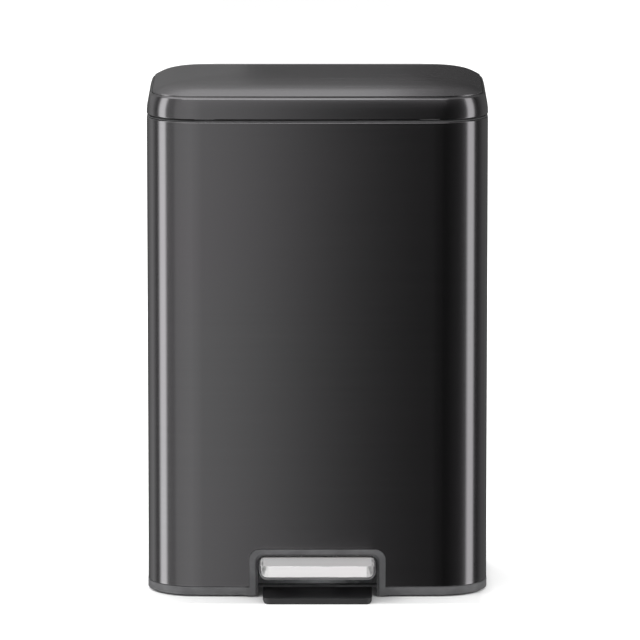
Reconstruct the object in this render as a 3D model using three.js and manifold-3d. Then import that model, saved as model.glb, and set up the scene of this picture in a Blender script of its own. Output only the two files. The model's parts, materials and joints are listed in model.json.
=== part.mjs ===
// Pedal trash can: black stainless steel body on a plastic base, domed lid on a rear hinge,
// lifted by a foot pedal through a lever under the floor and a rod behind the inner bucket.
// Millimetres, +Z up, the front faces -Y, and the origin is on the floor under the middle.
import * as THREE from "three";
import { mergeVertices } from "three/addons/utils/BufferGeometryUtils.js";
import { ParametricGeometry } from "three/addons/geometries/ParametricGeometry.js";
import Module from "manifold-3d";

const wasm = await Module();
wasm.setup();

// ---------------------------------------------------------------- driving dimensions
// Body and general
const BODY_WIDTH = 400;
const BODY_DEPTH = 250;
const BODY_HEIGHT = 552.5; // from the base ring to the top of the steel shell
const CORNER_RADIUS = 55;
const FRONT_BOW = 4; // the front wall curves forward by this much
const STEEL = 0.8; // sheet of shell and lid
const PLASTIC = 2.5; // wall of the moulded pieces
const GAP = 0.3; // between touching pieces

// Base
const FOOT_HEIGHT = 2;
const FOOT_RADIUS = 9;
const FOOT_INSET = 34; // foot centre from the side and rear walls
const RING_HEIGHT = 9.5;
const RING_PROUD = 0.4;
const SHADOW_GAP = 1; // between base ring and steel shell
const FLOOR_SPACE = 3; // over the highest point that the lever and rod foot reach
const BASE_LIP = 4;

// Pedal opening and its surround
const SURROUND_SIDE = 10; // rim beside the opening
const SURROUND_RIM = 4.6; // rim above the opening
const SURROUND_CORNER = 12.5;
const SURROUND_PROUD = 1.1; // in front of the base ring
const APRON_SIDE = 4; // the surround widens by this at the ring
const APRON_PROUD = 0.6;
const OPENING_CORNER = 9;
const OPENING_CHAMFER = 3;
const RECESS_DEPTH = 34;

// Pedal
const PEDAL_WIDTH = 137.4;
const PEDAL_CLEARANCE = 1.3; // to each side of the opening
const PEDAL_HEADROOM = 1.9; // under the top of the opening
const PEDAL_REACH = 38; // in front of the body
const PEDAL_DEPTH = 46;
const PEDAL_TOP = 44.7; // at the front edge
const PEDAL_RISE = 2.8; // from the front edge to the back edge
const PEDAL_FACE = 13.4;
const PEDAL_LIP = 2.4;
const PEDAL_CORNER = 10.5; // seen from above
const PEDAL_EDGE = 5; // upper corners seen from the front
const PEDAL_HEEL = 9; // lower corners seen from the front
const CAP_MARGIN = 1.5; // plastic edge beside the steel cap
const CAP_SHEET = 1.2;

// Lever under the floor
const PEDAL_TRAVEL = 19.5; // at the front edge, while the rod goes through its stroke
const PIVOT_HEIGHT = 30;
const LEVER_WIDTH = 36;
const LEVER_SHEET = 2;
const LEVER_HALF = 6; // half height of a cheek
const PIN_RADIUS = 3;
const PIN_CLEARANCE = 0.3;
const ROLLER_RADIUS = 6;
const ROLLER_HEIGHT = 10;
const BRACKET_SHEET = 2.5;

// Front foot under the pedal
const FRONT_FOOT_CLEARANCE = 6; // to each side of the opening
const FRONT_FOOT_REACH = 42;
const FRONT_FOOT_HEIGHT = 7;
const FRONT_FOOT_CORNER = 9; // seen from above
const FRONT_FOOT_HEEL = 5; // lower corners seen from the front

// Collar on top of the body
const COLLAR_SHOW = 2; // visible strip between shell and lid gap
const COLLAR_SKIRT = 18;
const HEM_WIDTH = 6;
const HEM_RADIUS = 2;
const DECK_DROP = 2.5;
const BUMPER_WIDTH = 23.5;
const BUMPER_OFFSET = 131;

// Inner bucket
const BUCKET_INSET = 12; // rim to the outside of the body, front and sides
const BUCKET_BEHIND = 3.5; // to the channel cover
const BUCKET_RIM = 5;
const BUCKET_RIM_HEIGHT = 4.2;
const BUCKET_TAPER = 6;
const HANDLE_WIRE = 2;

// Lid
const LID_GAP = 2.2;
const LID_BAND = 24.5;
const LID_LEAN = 3.6; // the band curves inwards by this much
const LID_EDGE = 2.4; // height of the rounded top edge of the band
const LID_EDGE_WIDTH = 2.2;
const LID_GROOVE = 0.8;
const DOME_HEIGHT = 16;
const DOME_STEP = 1; // upright edge of the dome in the groove
const DOME_ROLL = { width: 18, height: 5.9, power: 1.3 }; // rolled shoulder above it
const DOME_CROWN = { width: 106, power: 2.34 }; // the gentle crown inside it
const LINER_HEIGHT = 6; // underside of the liner above the lid's lower edge

// Hinge
const LID_ANGLE = 80; // degrees of opening
const PIVOT_BEHIND = 12; // hinge pin behind the body
const PIVOT_BELOW = 5; // hinge pin under the lid's lower edge
const EYE_RADIUS = 6.5;
const LUG_OFFSET = 37;
const LUG_WIDTH = 6;
const EAR_GAP = 3; // between lug and ear
const EAR_MARGIN = 6.5; // bracket plate outside the ears
const COVER_SPACE = 5; // around the hinge inside its cover
const COVER_HEIGHT = 52;
const SCREW_RADIUS = 1.8;
const SCREW_HEAD = 3.5;

// Lift rod and damper
const ROD_SETBACK = 16; // rod axis in front of the back of the body
const ROD_STROKE = 32; // while the lid opens
const ROD_RADIUS = 4;
const ROD_FOOT_RADIUS = 10;
const ROD_FOOT_HEIGHT = 10;
const ROD_PIN_RADIUS = 2.5;
const ROD_PIN_DROP = 14; // rod pin under the hinge pin
const ARM_SHEET = 3;
const ARM_HALF = 6.5;
const HEAD_CHEEK = 3;
const FORK_CLEARANCE = 2.5; // under the lid arm
const GUIDE_CLEARANCE = 0.4;
const GUIDE_HEIGHT = 12;
const CHANNEL_WIDTH = 68;
const CHANNEL_ROOM = 11.5; // from the rod axis to the front of the channel cover
const DAMPER_RADIUS = 7;
const DAMPER_LENGTH = 100;
const DAMPER_ROD_RADIUS = 2.5;
const DAMPER_OFFSET = 20;

// Facets
const CORNER_STEPS = 6;
const FRONT_STEPS = 6;
const ROUND_STEPS = 20;

// ---------------------------------------------------------------- worked out from them
const CENTRE = Infinity; // an inset that reaches the middle of the plan
const front = -BODY_DEPTH / 2;
const back = BODY_DEPTH / 2;
const ringTop = FOOT_HEIGHT + RING_HEIGHT;
const shellBottom = ringTop + SHADOW_GAP;
const shellTop = ringTop + BODY_HEIGHT;
const collarTop = shellTop + COLLAR_SHOW;
const lidBottom = collarTop + LID_GAP;
const bandTop = lidBottom + LID_BAND;
const domeTop = bandTop + DOME_HEIGHT;
const baseWall = STEEL + GAP;
const deckTop = collarTop - DECK_DROP;
const rimTop = deckTop - 3.5;
const rimBottom = rimTop - BUCKET_RIM_HEIGHT;
const rodY = back - ROD_SETBACK;
const pedalFront = front - PEDAL_REACH;
const leverRear = ((rodY - pedalFront) * ROD_STROKE) / (ROD_STROKE + PEDAL_TRAVEL);
const pivotY = rodY - leverRear;
const hingeY = back + PIVOT_BEHIND;
const hingeZ = lidBottom - PIVOT_BELOW;
const openingHalf = PEDAL_WIDTH / 2 + PEDAL_CLEARANCE;
const openingTop = PEDAL_TOP + PEDAL_RISE + PEDAL_HEADROOM;
const surroundHalf = openingHalf + SURROUND_SIDE;
const surroundTop = openingTop + OPENING_CHAMFER + SURROUND_RIM;
const surroundFront = front - RING_PROUD - SURROUND_PROUD;
const lidAngle = THREE.MathUtils.degToRad(LID_ANGLE);

const footBottom = ROLLER_HEIGHT + ROLLER_RADIUS + GAP;
const footTop = footBottom + ROD_FOOT_HEIGHT;
const pinZ = hingeZ - ROD_PIN_DROP;

// The raised floor clears the lifted rod foot and the pedal surround.
const floorHeight = Math.max(footTop + ROD_STROKE, surroundTop + 1) + FLOOR_SPACE;
const floorTop = floorHeight + PLASTIC;
const channelDepth = ROD_SETBACK + CHANNEL_ROOM;
const bucketBackSpace = channelDepth + BUCKET_BEHIND;

const coverDepth = PIVOT_BEHIND + EYE_RADIUS + COVER_SPACE + PLASTIC;
const bodyPlan = {
  halfX: BODY_WIDTH / 2,
  halfY: (BODY_DEPTH - FRONT_BOW) / 2,
  centreY: FRONT_BOW / 2,
  corner: CORNER_RADIUS,
  bow: FRONT_BOW,
};
const bucketDepth = BODY_DEPTH - BUCKET_INSET - bucketBackSpace;
const bucketPlan = {
  halfX: BODY_WIDTH / 2 - BUCKET_INSET,
  halfY: (bucketDepth - FRONT_BOW) / 2,
  centreY: front + BUCKET_INSET + (bucketDepth + FRONT_BOW) / 2,
  corner: CORNER_RADIUS * Math.exp(-BUCKET_INSET / CORNER_RADIUS),
  bow: FRONT_BOW,
};

// ---------------------------------------------------------------- materials
const finish = (color, roughness, metalness) =>
  new THREE.MeshStandardMaterial({ color, roughness, metalness });
const blackSteel = finish(0x3a3739, 0.32, 0.9);
const brightSteel = finish(0xd8d8d6, 0.3, 1);
const zincSteel = finish(0xa9abad, 0.4, 0.9);
const greyPlastic = finish(0x4b4b4d, 0.55, 0);
const blackPlastic = finish(0x1d1d1e, 0.6, 0);
const bucketPlastic = finish(0x2c2d2f, 0.5, 0);
const softRubber = finish(0x2a2a2a, 0.85, 0);

// ---------------------------------------------------------------- geometry helpers
// Outline of a rounded rectangle with a bowed front, seen from above, anticlockwise.
function outline(plan, inset = 0) {
  const radius = plan.corner * Math.exp(-inset / plan.corner);
  const cx = plan.halfX - inset - radius;
  const cy = plan.halfY - inset - radius;
  const points = [];
  const corner = (sx, sy, turn) => {
    for (let i = 0; i <= CORNER_STEPS; i++) {
      const angle = (turn + i / CORNER_STEPS) * (Math.PI / 2);
      points.push(
        new THREE.Vector2(sx * cx + radius * Math.cos(angle), sy * cy + radius * Math.sin(angle)),
      );
    }
  };
  corner(1, 1, 0);
  corner(-1, 1, 1);
  corner(-1, -1, 2);
  for (let i = 1; i < FRONT_STEPS; i++) {
    const x = THREE.MathUtils.lerp(-cx, cx, i / FRONT_STEPS);
    points.push(new THREE.Vector2(x, inset - plan.halfY));
  }
  corner(1, -1, 3);
  for (const point of points) {
    if (point.y < 0) point.y -= plan.bow * (1 - (point.x / plan.halfX) ** 2);
    point.y += plan.centreY;
  }
  return points;
}

// A wall that follows the plan: the profile is a list of [inset, height].
// It goes up the outside and down the inside. It starts and ends at CENTRE or on one point.
function sweep(plan, profile) {
  const rings = profile.map(([inset]) => (inset === CENTRE ? null : outline(plan, inset)));
  const count = outline(plan).length;
  const surface = (u, v, target) => {
    const row = Math.round(v * (profile.length - 1));
    const point = rings[row] ? rings[row][Math.round(u * count) % count] : { x: 0, y: plan.centreY };
    target.set(point.x, point.y, profile[row][1]);
  };
  return new ParametricGeometry(surface, count, profile.length - 1);
}

// A solid block with the plan's outline.
const slab = (plan, inset, bottom, top) =>
  sweep(plan, [[CENTRE, bottom], [inset, bottom], [inset, top], [CENTRE, top]]);

function toSolid(geometry) {
  const bare = geometry.clone();
  bare.deleteAttribute("normal");
  bare.deleteAttribute("uv");
  const merged = mergeVertices(bare, 1e-4);
  const index = merged.index.array;
  const kept = [];
  for (let i = 0; i < index.length; i += 3) {
    const [a, b, c] = [index[i], index[i + 1], index[i + 2]];
    if (a !== b && b !== c && c !== a) kept.push(a, b, c);
  }
  const mesh = new wasm.Mesh({
    numProp: 3,
    vertProperties: new Float32Array(merged.attributes.position.array),
    triVerts: new Uint32Array(kept),
  });
  return new wasm.Manifold(mesh);
}

function toGeometry(solid) {
  const mesh = solid.getMesh();
  const geometry = new THREE.BufferGeometry();
  geometry.setAttribute("position", new THREE.BufferAttribute(mesh.vertProperties, 3));
  geometry.setIndex(new THREE.BufferAttribute(mesh.triVerts, 1));
  geometry.computeVertexNormals();
  return geometry;
}

const join = (...pieces) =>
  toGeometry(pieces.map(toSolid).reduce((whole, piece) => whole.add(piece)));
const cut = (piece, ...tools) =>
  toGeometry(tools.map(toSolid).reduce((rest, tool) => rest.subtract(tool), toSolid(piece)));
const common = (one, other) => toGeometry(toSolid(one).intersect(toSolid(other)));

function box(x0, x1, y0, y1, z0, z1) {
  const geometry = new THREE.BoxGeometry(x1 - x0, y1 - y0, z1 - z0);
  return geometry.translate((x0 + x1) / 2, (y0 + y1) / 2, (z0 + z1) / 2);
}

const extrude = (shape, depth) =>
  new THREE.ExtrudeGeometry(shape, { depth, bevelEnabled: false, curveSegments: 6 });
const [alongX, alongY, alongZ] = [
  new THREE.Vector3(1, 0, 0),
  new THREE.Vector3(0, 1, 0),
  new THREE.Vector3(0, 0, 1),
];

// Plates cut from a drawn shape: in side view (y, z), in front view (x, z) and in plan (x, y).
function sidePlate(shape, x0, x1) {
  const turn = new THREE.Matrix4().makeBasis(alongY, alongZ, alongX);
  return extrude(shape, x1 - x0).applyMatrix4(turn).translate(x0, 0, 0);
}
function frontPlate(shape, y0, y1) {
  const turn = new THREE.Matrix4().makeBasis(alongX, alongZ, alongY.clone().negate());
  return extrude(shape, y1 - y0).applyMatrix4(turn).translate(0, y1, 0);
}
const planPlate = (shape, z0, z1) => extrude(shape, z1 - z0).translate(0, 0, z0);

// Round bars along each axis.
const rodX = (radius, y, z, x0, x1, steps = ROUND_STEPS) =>
  new THREE.CylinderGeometry(radius, radius, x1 - x0, steps)
    .rotateZ(Math.PI / 2)
    .translate((x0 + x1) / 2, y, z);
const rodYAxis = (radius, x, z, y0, y1, steps = ROUND_STEPS) =>
  new THREE.CylinderGeometry(radius, radius, y1 - y0, steps).translate(x, (y0 + y1) / 2, z);
const rodZ = (radius, x, y, z0, z1, steps = ROUND_STEPS) =>
  new THREE.CylinderGeometry(radius, radius, z1 - z0, steps)
    .rotateX(Math.PI / 2)
    .translate(x, y, (z0 + z1) / 2);

const polygon = (...points) => new THREE.Shape(points.map(([x, y]) => new THREE.Vector2(x, y)));

// Rectangle whose four corners have their own radii: lower left, lower right, upper right, upper left.
function roundedShape(x0, x1, y0, y1, radii) {
  const [ll, lr, ur, ul] = radii;
  const shape = new THREE.Shape();
  shape.moveTo(x0 + ll, y0);
  shape.lineTo(x1 - lr, y0);
  if (lr) shape.absarc(x1 - lr, y0 + lr, lr, -Math.PI / 2, 0, false);
  shape.lineTo(x1, y1 - ur);
  if (ur) shape.absarc(x1 - ur, y1 - ur, ur, 0, Math.PI / 2, false);
  shape.lineTo(x0 + ul, y1);
  if (ul) shape.absarc(x0 + ul, y1 - ul, ul, Math.PI / 2, Math.PI, false);
  shape.lineTo(x0, y0 + ll);
  if (ll) shape.absarc(x0 + ll, y0 + ll, ll, Math.PI, 1.5 * Math.PI, false);
  return shape;
}

// A path widened to both sides, with round ends: bars, and the slots that pins run in.
function strip(path, half) {
  const steps = 6;
  const sides = path.map((point, i) => {
    const before = path[Math.max(i - 1, 0)];
    const after = path[Math.min(i + 1, path.length - 1)];
    const along = after.clone().sub(before).normalize();
    return { point, along, normal: new THREE.Vector2(-along.y, along.x) };
  });
  const outlinePoints = sides.map((s) => s.point.clone().addScaledVector(s.normal, -half));
  const round = (side, sign) => {
    for (let i = 1; i < steps; i++) {
      const angle = (i / steps) * Math.PI;
      outlinePoints.push(
        side.point
          .clone()
          .addScaledVector(side.normal, -sign * half * Math.cos(angle))
          .addScaledVector(side.along, sign * half * Math.sin(angle)),
      );
    }
  };
  round(sides.at(-1), 1);
  for (const s of [...sides].reverse()) {
    outlinePoints.push(s.point.clone().addScaledVector(s.normal, half));
  }
  round(sides[0], -1);
  return new THREE.Shape(outlinePoints);
}

const at = (y, z) => new THREE.Vector2(y, z);

// ---------------------------------------------------------------- the assembly
const part = new THREE.Group();
part.name = "pedal_trash_can";

function add(name, geometry, material) {
  const mesh = new THREE.Mesh(geometry, material);
  mesh.name = name;
  part.add(mesh);
}

// ---------------------------------------------------------------- base
const archShape = (grow) =>
  roundedShape(
    -surroundHalf - grow,
    surroundHalf + grow,
    FOOT_HEIGHT,
    surroundTop + grow,
    [0, 0, SURROUND_CORNER, SURROUND_CORNER],
  );
const openingShape = (grow) =>
  roundedShape(
    -openingHalf,
    openingHalf,
    0,
    openingTop + grow,
    [0, 0, OPENING_CORNER, OPENING_CORNER],
  );

const footX = BODY_WIDTH / 2 - FOOT_INSET;
const footYs = [front + FOOT_INSET + SURROUND_CORNER, back - FOOT_INSET];
const feet = [-1, 1].flatMap((side) => footYs.map((y) => [side * footX, y]));
const webBottom = FRONT_FOOT_HEIGHT + GAP;
const recessBack = surroundFront + RECESS_DEPTH;

function baseMoulding() {
  const inner = baseWall + PLASTIC;
  const tray = sweep(bodyPlan, [
    [CENTRE, floorHeight],
    [inner, floorHeight],
    [inner, FOOT_HEIGHT],
    [1 - RING_PROUD, FOOT_HEIGHT],
    [-RING_PROUD, FOOT_HEIGHT + 1],
    [-RING_PROUD, ringTop],
    [baseWall, ringTop],
    [baseWall, floorTop + BASE_LIP],
    [inner, floorTop + BASE_LIP],
    [inner, floorTop],
    [CENTRE, floorTop],
  ]);
  const wallX = openingHalf + PLASTIC;
  const surround = frontPlate(archShape(0), surroundFront, front + inner);
  const apronX = surroundHalf + APRON_SIDE;
  const apron = box(
    -apronX, apronX, front - RING_PROUD - APRON_PROUD, front + inner, FOOT_HEIGHT, ringTop);
  const recess = box(-wallX, wallX, front + baseWall, recessBack, FOOT_HEIGHT, openingTop + PLASTIC);
  const bosses = feet.map(([x, y]) => rodZ(FOOT_RADIUS + 2, x, y, FOOT_HEIGHT, floorTop - 1));
  const solid = join(tray, surround, apron, recess, ...bosses);
  const opening = frontPlate(openingShape(0), surroundFront - 5, recessBack + 5);
  const chamfer = frontPlate(openingShape(OPENING_CHAMFER), surroundFront - 5, surroundFront + 3);
  const web = box(-wallX, wallX, recessBack - 10, recessBack, webBottom, webBottom + PLASTIC);
  const rodHole = rodZ(ROD_RADIUS + 2, 0, rodY, floorHeight - 5, floorTop + 5);
  return cut(join(cut(solid, opening, chamfer), web), rodHole);
}
add("base_moulding", baseMoulding(), greyPlastic);

feet.forEach(([x, y], i) => {
  const name = ["left_front", "left_rear", "right_front", "right_rear"][i];
  add(`rubber_foot_${name}`, rodZ(FOOT_RADIUS, x, y, 0, FOOT_HEIGHT - GAP), softRubber);
});

function frontFoot() {
  const half = openingHalf - FRONT_FOOT_CLEARANCE;
  const r = FRONT_FOOT_CORNER;
  const heel = FRONT_FOOT_HEEL;
  const plan = roundedShape(-half, half, front - FRONT_FOOT_REACH, recessBack, [r, r, 0, 0]);
  const section = roundedShape(-half, half, 0, FRONT_FOOT_HEIGHT, [heel, heel, 0, 0]);
  const long = frontPlate(section, front - FRONT_FOOT_REACH - 5, recessBack + 5);
  return common(planPlate(plan, -1, FRONT_FOOT_HEIGHT + 1), long);
}
add("anti_tip_foot", frontFoot(), blackPlastic);

// ---------------------------------------------------------------- steel body
const screwXs = [-25, 25];
const screwZs = [hingeZ - 31, hingeZ - 15];

function bodyShell() {
  const shell = sweep(bodyPlan, [
    [0, shellBottom],
    [0, shellTop - HEM_RADIUS],
    [HEM_RADIUS * 0.3, shellTop - HEM_RADIUS * 0.3],
    [HEM_RADIUS, shellTop],
    [HEM_WIDTH, shellTop],
    [HEM_WIDTH, shellTop - STEEL],
    [HEM_RADIUS, shellTop - STEEL],
    [STEEL, shellTop - HEM_RADIUS],
    [STEEL, shellBottom],
    [0, shellBottom],
  ]);
  const arch = frontPlate(archShape(GAP), front - 10, front + 20);
  const holes = screwXs.flatMap((x) =>
    screwZs.map((z) => rodYAxis(SCREW_RADIUS + GAP, x, z, back - 5, back + 5, 12)),
  );
  return cut(shell, arch, ...holes);
}
add("body_shell", bodyShell(), blackSteel);

// ---------------------------------------------------------------- collar
const armSlotHalf = 9;

function topCollar() {
  const skirtOuter = HEM_WIDTH + GAP;
  const skirtInner = skirtOuter + PLASTIC;
  const ring = sweep(bodyPlan, [
    [1.4, shellTop + GAP],
    [1.4, collarTop - 0.4],
    [1.8, collarTop],
    [skirtInner, collarTop],
    [skirtInner, shellTop - COLLAR_SKIRT],
    [skirtOuter, shellTop - COLLAR_SKIRT],
    [skirtOuter, shellTop + GAP],
    [1.4, shellTop + GAP],
  ]);
  const deck = slab(bodyPlan, skirtInner - 1, deckTop - PLASTIC, deckTop);
  const tub = slab(bucketPlan, -1 - PLASTIC, rimBottom - PLASTIC - GAP, deckTop);
  const rimSpace = slab(bucketPlan, -1, rimBottom - GAP, deckTop + 5);
  const wallSpace = slab(bucketPlan, BUCKET_RIM - 1, rimBottom - 20, deckTop + 5);
  const armSlot = box(
    -armSlotHalf,
    armSlotHalf,
    back - bucketBackSpace - 1,
    back - 4,
    shellTop - COLLAR_SKIRT - 5,
    collarTop + 5,
  );
  return cut(join(ring, deck, tub), rimSpace, wallSpace, armSlot);
}
add("top_collar", topCollar(), greyPlastic);

for (const [side, name] of [[-1, "left"], [1, "right"]]) {
  const x = side * BUMPER_OFFSET;
  const bumper = box(
    x - BUMPER_WIDTH / 2,
    x + BUMPER_WIDTH / 2,
    front + 4.2,
    front + 8.5,
    collarTop + GAP,
    lidBottom - GAP,
  );
  add(`lid_bumper_${name}`, bumper, softRubber);
}

// ---------------------------------------------------------------- inner bucket
const bucketBottom = floorTop + GAP;

function innerBucket() {
  const wall = BUCKET_RIM + PLASTIC;
  return sweep(bucketPlan, [
    [CENTRE, bucketBottom],
    [BUCKET_RIM + BUCKET_TAPER + 4, bucketBottom],
    [BUCKET_RIM + BUCKET_TAPER, bucketBottom + 4],
    [BUCKET_RIM, rimBottom],
    [0, rimBottom],
    [0, rimTop],
    [wall, rimTop],
    [wall + BUCKET_TAPER, bucketBottom + PLASTIC + 3],
    [wall + BUCKET_TAPER + 3, bucketBottom + PLASTIC],
    [CENTRE, bucketBottom + PLASTIC],
  ]);
}
add("inner_bucket", innerBucket(), bucketPlastic);

// Wire carrying handle, folded forward inside the rim of the bucket.
const handleZ = rimBottom - 12;
const bossReach = 6;
const bucketInsideX = bucketPlan.halfX - BUCKET_RIM - PLASTIC - 1;
const handleX = bucketInsideX - bossReach - HANDLE_WIRE - 2 * GAP;

function bucketHandle() {
  const endY = bucketPlan.centreY;
  const frontY = front + BUCKET_INSET + BUCKET_RIM + PLASTIC + 12;
  const bend = 40;
  const path = new THREE.CatmullRomCurve3(
    [
      [-handleX, endY],
      [-handleX, frontY + bend],
      [-handleX + bend * 0.3, frontY + bend * 0.3],
      [-handleX + bend, frontY],
      [handleX - bend, frontY],
      [handleX - bend * 0.3, frontY + bend * 0.3],
      [handleX, frontY + bend],
      [handleX, endY],
    ].map(([x, y]) => new THREE.Vector3(x, y, handleZ)),
    false,
    "centripetal",
  );
  const section = new THREE.Shape();
  section.absarc(0, 0, HANDLE_WIRE, 0, 2 * Math.PI, false);
  return new THREE.ExtrudeGeometry(section, { extrudePath: path, steps: 40, curveSegments: 4 });
}
add("bucket_handle", bucketHandle(), zincSteel);
for (const [side, name] of [[-1, "left"], [1, "right"]]) {
  const inner = bucketInsideX - bossReach;
  const [x0, x1] = side < 0 ? [-bucketInsideX, -inner] : [inner, bucketInsideX];
  add(`handle_boss_${name}`, rodX(6, bucketPlan.centreY, handleZ, x0, x1), bucketPlastic);
}

// ---------------------------------------------------------------- lid
// Inset of the band's outside at a height above the lid's lower edge.
const bandInset = (height) => LID_LEAN * (height / (LID_BAND - LID_EDGE)) ** 2.2;
const bandHeights = [0, 0.3, 0.55, 0.8, 1].map((f) => f * (LID_BAND - LID_EDGE));
const edgeAngles = [30, 60, 90].map(THREE.MathUtils.degToRad);
const edgeEnd = LID_LEAN + LID_EDGE_WIDTH;

function lidBand() {
  const outside = bandHeights.map((h) => [bandInset(h), lidBottom + h]);
  const edge = edgeAngles.map((a) => [
    LID_LEAN + LID_EDGE_WIDTH * (1 - Math.cos(a)),
    bandTop - LID_EDGE * (1 - Math.sin(a)),
  ]);
  const inside = bandHeights.map((h) => [bandInset(h) + STEEL, lidBottom + h]).reverse();
  const under = [edgeEnd, bandTop - STEEL - 0.2];
  return sweep(bodyPlan, [...outside, ...edge, under, ...inside, outside[0]]);
}
add("lid_band", lidBand(), blackSteel);

const domeStart = edgeEnd + LID_GROOVE;
const domeEdge = bandTop - 0.6;

function lidTopPanel() {
  const steps = [0, 0.02, 0.045, 0.08, 0.12, 0.17, 0.26, 0.4, 0.6, 0.8, 1];
  const swell = (distance, width, power) => 1 - (1 - Math.min(distance / width, 1)) ** power;
  const crown = domeTop - domeEdge - DOME_STEP - DOME_ROLL.height;
  const height = (s) => {
    const distance = s * DOME_CROWN.width;
    const roll = DOME_ROLL.height * swell(distance, DOME_ROLL.width, DOME_ROLL.power);
    return domeEdge + DOME_STEP + roll + crown * swell(distance, DOME_CROWN.width, DOME_CROWN.power);
  };
  const upper = steps.map((s) => [domeStart + s * DOME_CROWN.width, height(s)]);
  const lower = upper.map(([inset, z]) => [inset + STEEL * 0.4, z - STEEL]);
  upper.unshift([domeStart - 0.1, domeEdge - STEEL]);
  lower.unshift([domeStart + STEEL, domeEdge - STEEL]);
  return sweep(bodyPlan, [
    [CENTRE, lower.at(-1)[1]],
    ...lower.reverse(),
    ...upper,
    [CENTRE, domeTop],
  ]);
}
add("lid_top_panel", lidTopPanel(), blackSteel);

const linerBottom = lidBottom + 1;
const linerUnder = lidBottom + LINER_HEIGHT;

function lidLiner() {
  const clear = STEEL + GAP;
  const shelf = domeEdge - STEEL - GAP;
  const outer = bandHeights.slice(1).map((h) => [bandInset(h) + clear, lidBottom + h]);
  const shelfEnd = domeStart + 6;
  return sweep(bodyPlan, [
    [CENTRE, linerUnder],
    [clear + PLASTIC + 0.6, linerUnder],
    [clear + PLASTIC, linerBottom],
    [clear + 0.2, linerBottom],
    ...outer.slice(0, -1),
    [LID_LEAN + clear + 0.6, bandTop - LID_EDGE - 1.2],
    [edgeEnd + 0.2, shelf],
    [shelfEnd, shelf],
    [shelfEnd, linerUnder + PLASTIC],
    [CENTRE, linerUnder + PLASTIC],
  ]);
}
add("lid_liner", lidLiner(), blackPlastic);

// ---------------------------------------------------------------- rear hinge
const plateFront = back + GAP;
const plateBack = plateFront + 2.2;
const earOffset = LUG_OFFSET + LUG_WIDTH / 2 + EAR_GAP + BRACKET_SHEET / 2;
const bracketHalf = earOffset + BRACKET_SHEET / 2 + EAR_MARGIN;
const pinHole = (x0, x1) => rodX(PIN_RADIUS + PIN_CLEARANCE, hingeY, hingeZ, x0, x1);

function lidHingeLeaf() {
  const reach = EYE_RADIUS * Math.SQRT1_2;
  const leaf = box(-LUG_OFFSET - 9, LUG_OFFSET + 9, plateFront, plateBack, lidBottom + 1, lidBottom + 11);
  const lug = polygon(
    [plateFront + 0.5, lidBottom + 2],
    [hingeY - reach, hingeZ - reach],
    [hingeY + reach, hingeZ + reach],
    [plateFront + 0.5, lidBottom + 11],
  );
  const lugs = [-1, 1].flatMap((side) => {
    const x0 = side * LUG_OFFSET - LUG_WIDTH / 2;
    return [sidePlate(lug, x0, x0 + LUG_WIDTH), rodX(EYE_RADIUS, hingeY, hingeZ, x0, x0 + LUG_WIDTH)];
  });
  return cut(join(leaf, ...lugs), pinHole(-LUG_OFFSET - 20, LUG_OFFSET + 20));
}
add("lid_hinge_leaf", lidHingeLeaf(), zincSteel);

function hingeBracket() {
  const bottom = hingeZ - 38;
  const half = bracketHalf;
  const plate = box(-half, half, plateFront, plateBack, bottom, hingeZ - 8);
  const ear = polygon(
    [plateFront + 0.5, bottom + 6],
    [hingeY + EYE_RADIUS, hingeZ - 2],
    [hingeY + EYE_RADIUS, hingeZ],
    [hingeY - EYE_RADIUS, hingeZ],
    [plateFront + 0.5, hingeZ - 8],
  );
  const ears = [-1, 1].flatMap((side) => {
    const x0 = side * earOffset - BRACKET_SHEET / 2;
    return [
      sidePlate(ear, x0, x0 + BRACKET_SHEET),
      rodX(EYE_RADIUS, hingeY, hingeZ, x0, x0 + BRACKET_SHEET),
    ];
  });
  const holes = screwXs.flatMap((x) =>
    screwZs.map((z) => rodYAxis(SCREW_RADIUS + GAP, x, z, back - 5, back + 5, 12)),
  );
  return cut(join(plate, ...ears), pinHole(-half, half), ...holes);
}
add("hinge_bracket", hingeBracket(), zincSteel);

const pinEnd = earOffset + BRACKET_SHEET / 2 + 2.5;
add("hinge_pin", rodX(PIN_RADIUS, hingeY, hingeZ, -pinEnd, pinEnd), zincSteel);

const shellInside = back - STEEL - GAP;
const backingFront = shellInside - 2;

function backingPlate() {
  const plate = box(-34, 34, backingFront, shellInside, screwZs[0] - 6, screwZs[1] + 1 + SCREW_HEAD);
  const holes = screwXs.flatMap((x) =>
    screwZs.map((z) => rodYAxis(SCREW_RADIUS + GAP, x, z, back - 8, back + 5, 12)),
  );
  return cut(plate, ...holes);
}
add("hinge_backing_plate", backingPlate(), zincSteel);

screwXs.forEach((x, i) => {
  screwZs.forEach((z, j) => {
    const head = rodYAxis(SCREW_HEAD, x, z, plateBack + GAP, plateBack + GAP + 2.2, 12);
    const shank = rodYAxis(SCREW_RADIUS, x, z, backingFront - 1, plateBack + 1, 12);
    add(`hinge_screw_${i * 2 + j + 1}`, join(head, shank), zincSteel);
  });
});

function hingeCover() {
  const half = bracketHalf + COVER_SPACE + PLASTIC;
  const far = back + coverDepth;
  const top = lidBottom - 2;
  const bottom = top - COVER_HEIGHT;
  const outer = roundedShape(-half, half, plateFront, far, [0, 0, 8, 8]);
  const inner = roundedShape(
    -half + PLASTIC,
    half - PLASTIC,
    plateFront - 5,
    far - PLASTIC,
    [0, 0, 6, 6],
  );
  return cut(planPlate(outer, bottom, top), planPlate(inner, bottom + PLASTIC, top + 5));
}
add("hinge_cover", hingeCover(), blackPlastic);

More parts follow.
